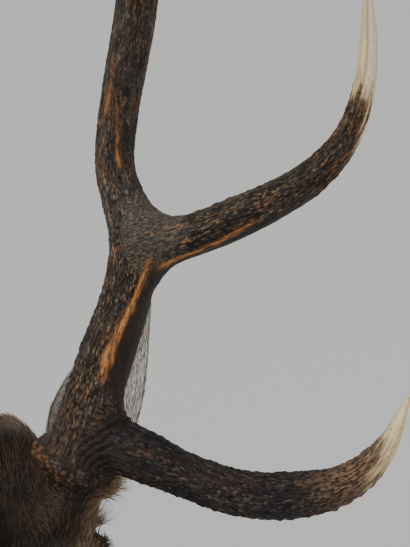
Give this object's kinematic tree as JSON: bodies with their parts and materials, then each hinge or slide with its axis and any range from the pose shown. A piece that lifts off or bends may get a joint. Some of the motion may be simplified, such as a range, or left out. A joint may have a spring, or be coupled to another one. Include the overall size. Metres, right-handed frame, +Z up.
{
  "type": "red deer stag head mount",
  "caption": "Life-size red deer stag head and neck in brown winter coat, with tall dark antlers and ivory tine tips, fixed to a wooden wall shield.",
  "frame": {"origin": "centre of the shield's back face, on the wall", "axes": "+Y into the wall, +Z up, -Y where the stag looks, +X to the stag's left"},
  "size_m": [0.6418, 0.565, 1.7308],
  "materials": {
    "board_wood": "dark oak, satin varnish",
    "winter_coat": "dense brown winter hair",
    "ear_hair": "short brown-grey hair, long pale hair inside",
    "antler_bone": "dark pearled antler with worn ridges and ivory tips",
    "glass_eye": "dark brown glass eye"
  },
  "bodies": {
    "root": {"board": "board_wood", "neck_lower": "winter_coat", "neck_upper": "winter_coat", "head": "winter_coat", "muzzle": "winter_coat", "lower_jaw": "winter_coat", "ear_left": "ear_hair", "eye_left": "glass_eye", "antler_left_beam_lower": "antler_bone", "antler_left_beam_upper": "antler_bone", "antler_left_brow": "antler_bone", "antler_left_trez": "antler_bone", "antler_left_crown_front": "antler_bone", "antler_left_crown_outer": "antler_bone", "antler_left_crown_rear": "antler_bone", "ear_right": "ear_hair", "eye_right": "glass_eye", "antler_right_beam_lower": "antler_bone", "antler_right_beam_upper": "antler_bone", "antler_right_brow": "antler_bone", "antler_right_trez": "antler_bone", "antler_right_crown_front": "antler_bone", "antler_right_crown_outer": "antler_bone", "antler_right_crown_rear": "antler_bone"}
  },
  "joints": []
}
